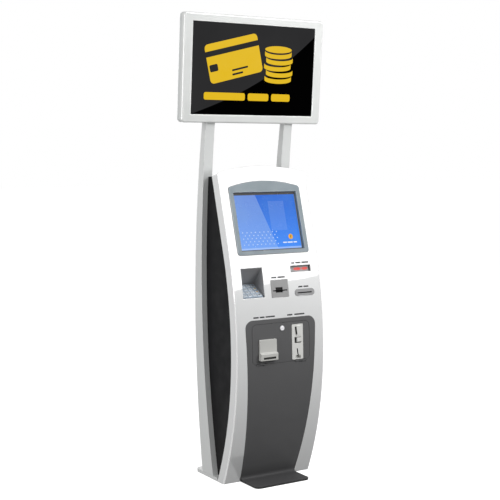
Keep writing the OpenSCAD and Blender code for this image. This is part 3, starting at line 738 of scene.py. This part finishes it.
def dress_frame():
    """CAD nodes by their look: material, corner radius, faces per corner."""
    keys = " ".join(f"key_{row}_{col}" for row, col in KEYS)
    looks = [(POST_PAINT, 2.4, 3, "left_post right_post"), (POST_PAINT, 1.6, 3, "base_plate"),
             (CABINET_PAINT, 0.5, 2, "cabinet_left_wall cabinet_right_wall"),
             (CABINET_PAINT, 0.4, 2, "cabinet_top rear_lower_panel door_rails"),
             (CABINET_PAINT, 0.7, 2, "rear_door"), (LOCK_CHROME, 1.2, 3, "rear_lock"),
             (BLACK_PLASTIC, 0.8, 2, "power_inlet"), (ROCKER_PLASTIC, 0.9, 3, "power_switch"),
             (BLACK_PLASTIC, 1.2, 2, "bill_validator coin_validator card_reader computer"),
             (PANEL_PAINT, 0.3, 2, "service_hinges"), (CASH_PAINT, 1.5, 2, "bill_cassette coin_box"),
             (COIN_METAL, 0.6, 2, "coin_plate"), (COIN_METAL, 1.0, 3, "coin_return_button"),
             (NICHE_PAINT, 0.3, 2, "keypad_tray"), (PAD_STEEL, 0.5, 2, "keypad_body"),
             (KEY_STEEL, 1.1, 3, keys), (READER_PLASTIC, 0.7, 2, "card_bezel"),
             (SCANNER_FRAME, 0.5, 2, "scanner_bezel"), (PRINTER_PLASTIC, 0.8, 2, "printer_bezel"),
             (PRINTER_FRAME, 0.5, 2, "printer_module"), (PLATEN, 0.4, 2, "platen_roller"),
             (ZINC, 0.5, 2, "power_supply equipment_shelves display_bracket"),
             (GLASS, 0.3, 2, "touch_glass")]
    for material, radius, segments, names in looks:
        for name in names.split():
            dressed(name, material, radius, segments)


def dress_placed():
    """The CAD nodes whose materials follow their own places."""
    low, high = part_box("scanner_module")
    dressed("scanner_module", scanner_window("scanner_window", (low.x + high.x) / 2, low.y, 1.0345), 0.6)
    low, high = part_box("paper_roll")
    dressed("paper_roll", paper_roll("paper", (low.y + high.y) / 2, (low.z + high.z) / 2), 0.3)
    dressed("touch_panel", touch_picture("touch_picture"), 0.5)
    dressed("display_panel", overhead_picture("overhead_picture"), 0.5)


# ---------- front shell, lower panel and service door ----------
def on_height(outline):
    """Turns heights in the screen's plane into heights above the floor."""
    return [(x, SCREEN_Z + s * math.cos(LEAN)) for x, s in outline]


def shell_outline(inset, low=-45):
    bottom = (low - SCREEN_Z) / math.cos(LEAN)
    return on_height(arch(HALF_W - inset, bottom, ARCH_PEAK - inset, ARCH_R - inset, max(10 - inset, 2), 0))


def face_hole(x, z, width, height, r, play=0.3):
    """A hole's outline on the curved front, with play round the bezel that fills it."""
    tall = (height + 2 * play) * math.cos(face_lean(z))
    return rounded(width + 2 * play, tall, r, x, z)


def through(outline):
    """A cutter that goes right through a sheet."""
    return plate(outline, -10, 10)


def make_shell():
    shell = plate(shell_outline(0), 0, BAND)
    inside = plate(shell_outline(SKIN, -60), SKIN, BAND - SKIN)
    top = on_height(arch(FLANGE, -1500, ARCH_PEAK - TOP_FLANGE, ARCH_R - TOP_FLANGE, 3, 0))
    openings = [face_hole(*hole) for hole in (CARD, PRINTER, SCANNER)]
    openings += [on_height(box_outline(*SCREEN_HOLE)), box_outline(*NICHE_HOLE)]
    openings.append(mirrored([(PANEL_LOW, -60)] + panel_side(0)))
    cut(shell, inside, plate(top, BAND - SKIN - 1, BAND + 5), *[through(opening) for opening in openings])

    def outer(x, z):
        return abs(x) > HALF_W - 0.1 or z > SHOULDER_Z
    softened(shell, rim_at(0, lambda x, z: outer(x, z) and z < SHOULDER_Z), 6.5, 5)
    softened(shell, rim_at(0, lambda x, z: z > SHOULDER_Z), 3.0, 4, polish=0)
    softened(shell, rim_at(0, lambda x, z: abs(x) < HALF_W - 8 and -44 < z < SHOULDER_Z), 0.7, 2)
    softened(shell, rim_at(BAND, outer), 2.0, 3, polish=0)
    wrapped(shell, to_face, range(-40, int(FLAT_Z) + 1, 20))
    floor_cut(shell)
    piece(shell, "shell_cover", SHELL_WHITE, "front_shell", ["front_shell"])


BEND_TOP, BEND_LENGTH, BEND_FORWARD = 34, 40, 24
BEND_Y = face_y(FOOT_T) - BEND_FORWARD
FOOT_END = BEND_TOP - BEND_LENGTH - (BEND_Y - FOOT_FRONT)


def to_kick(p):
    """Follows the face down, then the bend, then the foot to its front edge."""
    x, depth, t = p
    if t >= BEND_TOP:
        return to_face(p)
    start = Vector((face_y(BEND_TOP), BEND_TOP))
    corner = Vector((face_y(FOOT_T), FOOT_T))
    end = Vector((BEND_Y, FOOT_T))
    u = min((BEND_TOP - t) / BEND_LENGTH, 1)
    at = start * (1 - u) ** 2 + corner * 2 * u * (1 - u) + end * u * u
    way = ((corner - start) * (1 - u) + (end - corner) * u).normalized()
    at += way * max(BEND_TOP - BEND_LENGTH - t, 0)
    return Vector((x, at.x - depth * way.y, at.y + depth * way.x)) * MM


def to_ground(p):
    x, height, y = p
    return Vector((x, y, height)) * MM


def door_outline(gap):
    """The service door's outline, or with a gap that of its hole."""
    middle = (DOOR_LOW + DOOR_HIGH) / 2
    return rounded(2 * (DOOR_HALF + gap), DOOR_HIGH - DOOR_LOW + 2 * gap, DOOR_R + gap, 0, middle)


def span(middle, half, low, high):
    return box_outline(middle - half, middle + half, low, high)


def make_lower_panel():
    foot = arc(FOOT_HALF - FOOT_R, FOOT_END + FOOT_R, FOOT_R, -90, 0, 8)
    foot += [(FOOT_HALF, BEND_TOP - BEND_LENGTH), (PANEL_LOW - 1, BEND_TOP)]
    side = [point for point in panel_side(0.8) if point[1] > BEND_TOP]
    panel = plate(mirrored(foot + side), 0, SKIN)
    notches = [through(span(x, 1.5 * KNUCKLE + 1, 586, 596)) for x in HINGE_X]
    cut(panel, through(door_outline(DOOR_GAP)), *notches)
    softened(panel, rim_at(0), 0.8, 2)
    wrapped(panel, to_kick, [*range(BEND_TOP - BEND_LENGTH, BEND_TOP, 4), *range(BEND_TOP, PANEL_TOP, 20)])
    piece(panel, "lower_panel", PANEL_PAINT, "kick_panel", ["kick_panel"])


def make_foot_pad():
    rear, half = face_y(0) + 2, FOOT_HALF - 0.6
    corners = [arc(side * (FOOT_HALF - FOOT_R), FOOT_FRONT + FOOT_R, FOOT_R - 0.6, start, start + 90, 8)
               for side, start in ((-1, 180), (1, 270))]
    pad = plate(corners[0] + corners[1] + [(half, rear), (-half, rear)], 0, FOOT_T - SKIN)
    softened(pad, rim_at(0), 1.2, 2)
    faced_out(wrapped(pad, to_ground))
    piece(pad, "foot_pad", FOOT_RUBBER, "kick_panel")


def make_service_door():
    door = plate(door_outline(0), 0, SKIN)
    holes = [face_hole(*hole) for hole in (BILL, COIN)]
    holes.append(rounded(16.2, 16.2, 8, LOCK_X, LOCK_Z))
    holes += [span(x + side, KNUCKLE / 2 + 0.4, 580, 599) for x in HINGE_X for side in (-KNUCKLE, KNUCKLE)]
    cut(door, *[through(hole) for hole in holes])
    softened(door, rim_at(0), 0.8, 2)
    wrapped(door, to_face, range(DOOR_LOW + 5, DOOR_HIGH, 20))
    half = KNUCKLE / 2 - 0.2
    knuckles = [wrapped(rod(x - half, x + half, 3, 0, HINGE_Z), to_face) for x in HINGE_X]
    leaf = joined(door, *knuckles)
    piece(leaf, "service_door_leaf", PANEL_PAINT, "service_door", ["service_door"])


def make_service_lock():
    rim = [(8, 9), (8, 0.4), (12, -0.4), (12, -2.4), (11.4, -3.6), (10.6, -4.2), (9.2, -4.2), (8.6, -3.4)]
    plug = [(7.9, -3.4), (7.4, -4.3), (6.6, -4.5), (0, -4.5)]
    barrel = lathe(rim + plug)
    key_slot = block((-1.1, 1.1), (-6, -1.5), (-4.6, 4.6))
    cut(barrel, key_slot)
    cam = softened(block((-38, 9), (9.2, 11.4), (-7, 7)), lambda e: True, 0.6, 2)
    lock = wrapped(joined(barrel, cam), tangent_frame(LOCK_X, LOCK_Z))
    piece(lock, "service_lock_cylinder", LOCK_CHROME, "service_lock", ["service_lock"])


def note_hole(width, height, r, near, far):
    """A rounded hole on the note slot's level, between two depths."""
    return plate(rounded(width, height, r, 0, NOTE_Z), near, far)


def make_bill_bezel():
    x, z, width, height, corner = BILL
    half, half_h = width / 2, height / 2
    brow = arc(-5, half_h - 3, 3, 95, 175, 4)
    nose = arc(-16, -19.5, 5, 100, 178, 5) + arc(-16, 5 - half_h, 5, 184, 262, 5)
    profile = [(4, half_h), (-4, half_h)] + brow + [(-9, -9), (-11, -13)] + nose + [(4, -half_h)]
    bezel = bar(profile, -half, half)
    around = plate(rounded(width + 20, height + 20, 2), -30, 10)
    cut(bezel, cut(around, plate(rounded(width, height, corner), -40, 20)))

    def at_side(edge):
        a, b = (v.co for v in edge.verts)
        near_side = min(abs(a.x), abs(b.x)) > half - corner - 0.01
        return near_side and abs(a.x - b.x) < 20 and max(a.y, b.y) < 3.9
    softened(bezel, at_side, 1.3, 3)
    cut(bezel, note_hole(*NOTE_SLOT, -40, 20))
    pocket = plate(rounded(88, 75, 3, 0, 9.5), -3.5, 20)
    cut(bezel, note_hole(*NOTE_MOUTH, -40, MOUTH_END), pocket)
    wrapped(bezel, tangent_frame(x, z))
    piece(bezel, "bill_entry", BILL_PLASTIC, "bill_bezel", ["bill_bezel"])


# Painted shade: a black lining in the note slot's mouth, standing in for the shade of its depth
def make_bill_throat():
    throat = note_hole(67.8, 9.8, 1.1, -20.6, MOUTH_END + 0.1)
    cut(throat, note_hole(66.6, 8.6, 0.8, -30, MOUTH_END - 0.5), note_hole(61.4, 3.0, 0.4, -22, 2.5))
    lined(throat, BILL, "bill_throat", "bill_bezel")


def slot_liner(width, height, x, z, near, far, lean=0):
    """Black walls inside a slot: painted shade, so that it reads as a deep opening."""
    def filling(less, r, start, end):
        return plate(turned(rounded(width - less, height - less, r, steps=2), lean, x, z), start, end)
    return cut(filling(0, 0.4, near, far), filling(0.7, 0.2, near - 1, far + 1))


def lined(liner, hole, name, node):
    piece(wrapped(liner, tangent_frame(*hole[:2])), name, SLOT_SHADE_BLACK, node)


# Black walls in the card, printer and coin slots and a black floor in the coin cup: painted shade of their
# depth
def make_slot_liners():
    lined(slot_liner(81, 5, 0.5, -9.5, -1.4, 6.3), CARD, "card_slot_liner", "card_bezel")
    lined(slot_liner(81, 5.2, 0, -1.4, -1.9, 6.3), PRINTER, "printer_slot_liner", "printer_bezel")
    insert = slot_liner(5.2, 38, -8, 54, -5.9, 3.9, COIN_LEAN)
    chute = slot_liner(6, 39, 0, -52.5, -1.9, 3.9, COIN_LEAN)
    cup_floor = cut(plate(box_outline(-16.9, 21.9, -5.9, 22.3), 1.6, 1.99),
                    plate(box_outline(-6.9, 18.9, -0.9, 20.4), 0, 4))
    lined(joined(insert, chute, cup_floor), COIN, "coin_slot_liners", "coin_plate")


def make_card_throat():
    """A black cup in the card bezel's throat, painted shade of its depth, open where the slot goes through.
    """
    middle = (-5, -6.5)
    liner = plate(rounded(39.4, 24.4, 1, *middle), 0.2, 5.1)
    cut(liner, plate(rounded(37, 22, 0.6, *middle), -1, 4.2), block((-40, 41), (-1, 20), (-11, -8)))
    softened(liner, rim_at(0.2), 0.3, 1)
    lined(liner, CARD, "card_throat", "card_bezel")


# ---------- touch screen ----------
def make_touch_bezel():
    bezel = plate(arch(203, -158, 205, 702, 15, 14), -4, 0)
    add(bezel, plate(rounded(364, 292, 2, 0, VIEW_Z), -1, 10.4))
    cut(bezel, plate(rounded(360, 288, 1.5, 0, VIEW_Z), -10, 20))

    def outer(x, z):
        return abs(x) > 184 or abs(z - VIEW_Z) > 150
    softened(bezel, rim_at(-4, outer), 2.4, 4)
    softened(bezel, rim_at(-4, lambda x, z: not outer(x, z)), 1.2, 3)
    wrapped(bezel, to_screen)
    piece(bezel, "touch_surround", BEZEL_PLASTIC, "touch_bezel", ["touch_bezel"])


def make_touch_seal():
    # Painted shade: a dark ring just outside the bezel's edge, standing in for the shade along the proud
    # bezel
    shade_ring = plate(arch(204.4, -159.4, 206.4, 703, 16, 15), -1.1, -0.1)
    cut(shade_ring, plate(arch(200, -155, 202, 699, 13, 12), -5, 5))
    softened(shade_ring, rim_at(-1.1, lambda x, z: abs(x) > 202 or z < -157 or z > 150), 0.5, 2)
    piece(wrapped(shade_ring, to_screen), "touch_edge_shade", EDGE_SHADE_RUBBER, "touch_bezel")


def make_touch_picture():
    """Rows of pale dots, and a gold coin over a plain dashed line, in the start screen's picture."""
    near, far = 13.66, 13.72

    def in_picture(solid, name, colour):
        piece(wrapped(solid, to_screen), name, glow(name, colour), "touch_panel")

    def disc(r, x, z, steps):
        return lathe([(0, near), (r, near), (r, far), (0, far)], steps, (x, z))

    dots = [disc(3, -150 + 24 * col + 12 * (row % 2), -46 - 15 * row, 12)
            for row in range(5) for col in range(9 - row % 2)]
    in_picture(joined(*dots), "picture_dots", srgb(196, 220, 255))
    in_picture(disc(13, *COIN_MIDDLE, 32), "picture_coin", srgb(240, 176, 60))
    stroke = plate(rounded(3.4, 14, 1.2, *COIN_MIDDLE, 3), near - 0.05, near - 0.01)
    in_picture(stroke, "picture_coin_mark", srgb(120, 80, 10))
    dashes = [plate(rounded(length, 6, 2, x, -102, 3), near, far)
              for length, x in ((22, 82), (30, 112), (20, 142))]
    in_picture(joined(*dashes), "picture_line", srgb(236, 244, 255))


# ---------- overhead display ----------
def make_display_bezel():
    bezel = plate(rounded(DISPLAY_W, DISPLAY_H, 18, steps=8), 0, DISPLAY_SEAM)
    picture = box_outline(-PICTURE_W / 2, PICTURE_W / 2, -PICTURE_H / 2, PICTURE_H / 2)
    panel_bay = block((-361, 361), (4, 40), (-230, 230))
    cut(bezel, plate(picture, -1, 20), panel_bay)

    def outer(x, z):
        return abs(x) > PICTURE_W / 2 + 10 or abs(z) > PICTURE_H / 2 + 10
    softened(bezel, rim_at(0, outer), 8, 6)
    softened(bezel, rim_at(0, lambda x, z: not outer(x, z)), 3.2, 4)
    softened(bezel, rim_at(DISPLAY_SEAM, lambda x, z: abs(x) > 380 or abs(z) > 240), 1.0, 2)
    wrapped(bezel, to_display)
    piece(bezel, "display_bezel", DISPLAY_PLASTIC, "display_frame", ["display_frame"])


def make_display_cover():
    """The rear cover: a hollow shell with a hump and two rows of vents."""
    seam = DISPLAY_SEAM + 0.2
    cover = plate(rounded(DISPLAY_W - 1, DISPLAY_H - 1, 17.5, steps=8), seam, DISPLAY_D)
    softened(cover, rim_at(DISPLAY_D), 7, 5)
    softened(cover, rim_at(seam), 1.0, 2)
    hump = plate(rounded(HUMP_W, HUMP_H, 14, 0, HUMP_Z), DISPLAY_D - 8, HUMP_D)
    softened(hump, rim_at(HUMP_D), 6, 4)
    add(cover, hump)
    inside = [plate(rounded(DISPLAY_W - 2 * WALL, DISPLAY_H - 2 * WALL, 15), 10, DISPLAY_D - WALL),
              plate(rounded(HUMP_W - 2 * WALL, HUMP_H - 2 * WALL, 11, 0, HUMP_Z), 10, HUMP_D - WALL)]
    vents = [plate(rounded(10, 40, 5, -154 + 28 * i, 110), DISPLAY_D - 20, 90) for i in range(12)]
    vents += [plate(rounded(8, 30, 4, -104 + 19 * i, -60), DISPLAY_D + 10, 90) for i in range(12)]
    post_notches = [block((x - 25.6, x + 25.6), (23, 65.4), (-270, -246)) for x in (-225, 225)]
    cut(cover, *inside, *vents, *post_notches)
    wrapped(cover, to_display)
    node = "display_rear_cover"
    piece(cover, "display_back", DISPLAY_COVER, node, [node])


def make_display_screws():
    profile = [(0, 51.6), (3.4, 51.6), (3.4, 52.6), (2.7, 53.6), (1.5, 53.9), (1.4, 52.9), (0, 52.9)]
    screws = [lathe(profile, 20, (x, z)) for x in (-370, -140, 140, 370) for z in (-232, 236)]
    piece(wrapped(joined(*screws), to_display), "display_screws", HINGE_STEEL, "display_rear_cover")


def card_picture(near, far):
    """A tilted card. Its stripe, its chip and two printed lines are left out of it."""
    def tilted(outline, x, z, reach=1):
        return plate(turned(outline, 14, x, z), near - reach, far + reach)

    card = tilted(rounded(300, 188, 20), *CARD_MIDDLE, 0)
    stripe = tilted(box_outline(-160, 160, 34, 60), *CARD_MIDDLE)
    chip = tilted(rounded(46, 34, 7), -228, 2)
    lines = [tilted(rounded(length, 9, 4), x, z) for length, x, z in ((92, -82, 6), (62, -94, -18))]
    return cut(card, stripe, chip, *lines)


def pile_of_coins(near, far):
    """Five coins in a loose pile, each drawn as the band of its rim, under an oval top."""
    def oval(x, z, start, end):
        angles = [math.radians(a) for a in range(start, end, 12)]
        return [(x + 78 * math.cos(a), z + 17 * math.sin(a)) for a in angles]

    coins = []
    for level, shift in enumerate((0, 7, -5, 6, -2)):
        low = oval(138 + shift, -44 + 30 * level, 180, 361)
        coins.append(plate(low + [(x, z + 21) for x, z in reversed(low)], near, far))
    return coins + [plate(oval(136, 105, 0, 360), near, far)]


def make_display_graphic():
    """A plain payment pictogram, a card beside a pile of coins, over three plain bars."""
    gold = glow("picture_gold", srgb(228, 186, 10))
    near, far = 3.95, 4.15
    parts = [card_picture(near, far), *pile_of_coins(near, far)]
    bars = ((230, -164), (120, 27), (110, 158))
    parts += [plate(rounded(width, 36, 10, x, -130), near, far) for width, x in bars]
    piece(wrapped(joined(*parts), to_display), "picture_graphic", gold, "display_panel")


# ---------- key marks and printed pictograms ----------
MARK_INK = plastic("print_ink", srgb(48, 48, 50), 0.55)


def key_centre(row, col):
    return (col - 2.5) * KEY_PITCH[0], 58 + (2.5 - row) * KEY_PITCH[1]


def digit(text, size):
    data = bpy.data.curves.new("digit", "FONT")
    data.body, data.size = text, size
    data.align_x, data.align_y = "CENTER", "CENTER"
    data.extrude = 0.05
    data.resolution_u = 3
    text_obj = in_scene("digit", data)
    mesh = bpy.data.meshes.new_from_object(text_obj.evaluated_get(bpy.context.evaluated_depsgraph_get()))
    bpy.data.objects.remove(text_obj)
    bpy.data.curves.remove(data)
    return in_scene("digit", mesh)


def make_key_marks():
    ink = plastic("key_ink", srgb(40, 44, 50), 0.5)
    yellow = plastic("key_yellow", srgb(226, 196, 104), 0.4)
    amber = plastic("key_amber", srgb(222, 168, 84), 0.4)
    last_column = {1: ink, 2: yellow, 3: amber, 4: ink}
    digits = {(row, col): str(3 * (row - 1) + col) for row in range(1, 4) for col in range(1, 4)}
    digits[(4, 2)] = "0"
    for row, col in KEYS:
        cx, cy = key_centre(row, col)
        material = last_column[row] if col == 4 else ink
        if (row, col) in digits:
            mark = digit(digits[(row, col)], 11)
            wrapped(mark, lambda p: to_niche((cx + p.x, cy + p.y, KEY_TOP + p.z)))
        else:
            shape = rounded(12, 5, 1.5, cx, cy) if col == 4 else rounded(4.5, 4.5, 2, cx, cy)
            mark = plate(shape, KEY_TOP, KEY_TOP + 0.12)
            faced_out(wrapped(mark, lambda p: to_niche((p.x, p.z, p.y))))
        piece(mark, f"key_mark_{row}_{col}", material, f"key_{row}_{col}")


def words(x0, x1, z, lengths, height=7):
    """A line of plain dashes in place of a printed line."""
    room = (x1 - x0 - sum(lengths)) / (len(lengths) - 1)
    marks, x = [], x0
    for length in lengths:
        marks.append(plate(rounded(length, height, 1.2, x + length / 2, z, 3), -0.35, 0.1))
        x += length + room
    return marks


def make_front_marks():
    lines = [(91, 191, 1065, (18, 30, 40)), (-34, 44, 1002, (28, 42)), (116, 175, 950, (24, 28)),
             (-153, -32, 820, (30, 26, 52)), (39, 139, 820, (30, 58))]
    marks = [wrapped(mark, to_face) for line in lines for mark in words(*line)]
    piece(joined(*marks), "front_marks", MARK_INK, "front_shell")


dress_frame()
dress_placed()
make_shell()
make_lower_panel()
make_foot_pad()
make_service_door()
make_service_lock()
make_bill_bezel()
make_bill_throat()
make_card_throat()
make_slot_liners()
make_touch_bezel()
make_touch_seal()
make_touch_picture()
make_display_bezel()
make_display_cover()
make_display_screws()
make_display_graphic()
make_key_marks()
make_front_marks()


# ---------- camera, light and floor ----------
def make_camera():
    data = bpy.data.cameras.new("camera")
    data.lens, data.sensor_width = 79.865, 36
    camera = in_scene("camera", data)
    camera.location = (-2.8998, -4.5814, 1.6119)
    turn, pitch = math.radians(31.79), math.radians(5.16)
    aim = Vector((math.sin(turn) * math.cos(pitch), math.cos(turn) * math.cos(pitch), -math.sin(pitch)))
    camera.rotation_euler = aim.to_track_quat("-Z", "Y").to_euler()
    bpy.context.scene.camera = camera


def softbox(name, lower_left, lower_right, height, power):
    """A rectangular light that stands on the line between two points and faces the kiosk."""
    a, b = Vector(lower_left), Vector(lower_right)
    across = (b - a).normalized()
    middle = (a + b) / 2
    back = (middle - Vector((0, 0, 1.1))).normalized()
    up = back.cross(across).normalized()
    back = across.cross(up).normalized()
    data = bpy.data.lights.new(name, "AREA")
    data.shape, data.size, data.size_y, data.energy = "RECTANGLE", (b - a).length, height, power
    turn = Matrix((across, up, back)).transposed().to_4x4()
    in_scene(name, data).matrix_world = Matrix.Translation(middle + up * height / 2) @ turn


def by_ray(tree, output, camera, glossy, diffuse):
    """Sets apart what the camera sees, what shines in smooth surfaces and what lights the object."""
    path = new_node(tree, "ShaderNodeLightPath").outputs
    result = diffuse
    for ray, seen in (("Is Glossy Ray", glossy), ("Is Camera Ray", camera)):
        result = new_node(tree, "ShaderNodeMixShader", {0: path[ray], 1: result, 2: seen}).outputs[0]
    tree.links.new(result, tree.nodes[output].inputs["Surface"])


def shader(tree, kind, level):
    return new_node(tree, kind, {"Color": (level, level, level, 1)}).outputs[0]


def make_world():
    world = bpy.data.worlds.new("studio")
    bpy.context.scene.world = world
    world.use_nodes = True
    tree = world.node_tree
    camera, glossy, diffuse = (shader(tree, "ShaderNodeBackground", level) for level in (1.0, 0.8, 0.31))
    by_ray(tree, "World Output", camera, glossy, diffuse)


def make_floor():
    half = 40
    mesh = bpy.data.meshes.new("floor")
    mesh.from_pydata([(x, y, 0) for x, y in box_outline(-half, half, -half, half)], [], [(0, 1, 2, 3)])
    floor = in_scene("floor", mesh)
    material = bpy.data.materials.new("floor")
    material.use_nodes = True
    tree = material.node_tree
    bright, glossy = (shader(tree, "ShaderNodeEmission", level) for level in (0.72, 0.9))
    lit, diffuse = (shader(tree, "ShaderNodeBsdfDiffuse", level) for level in (0.95, 0.08))
    pale = new_node(tree, "ShaderNodeAddShader", {0: bright, 1: lit}).outputs[0]
    by_ray(tree, "Material Output", pale, glossy, diffuse)
    mesh.materials.append(material)


make_camera()
make_world()
make_floor()
bpy.context.scene.view_settings.view_transform = "Standard"
softbox("front_softbox", (1.10, -2.93, 1.485), (2.92, -2.44, 1.88), 2.2, 84)
softbox("top_light", (-1.2, -1.9, 3.6), (1.2, -1.9, 3.6), 1.6, 16)
softbox("side_fill", (-3.2, 0.6, 0.9), (-3.2, -1.4, 0.9), 2.0, 53)
softbox("edge_strip", (-3.60, -3.05, 0.4), (-3.20, -3.40, 0.4), 2.6, 16)
softbox("rear_light", (1.8, 3.4, 1.2), (-0.4, 3.6, 1.2), 2.0, 40)
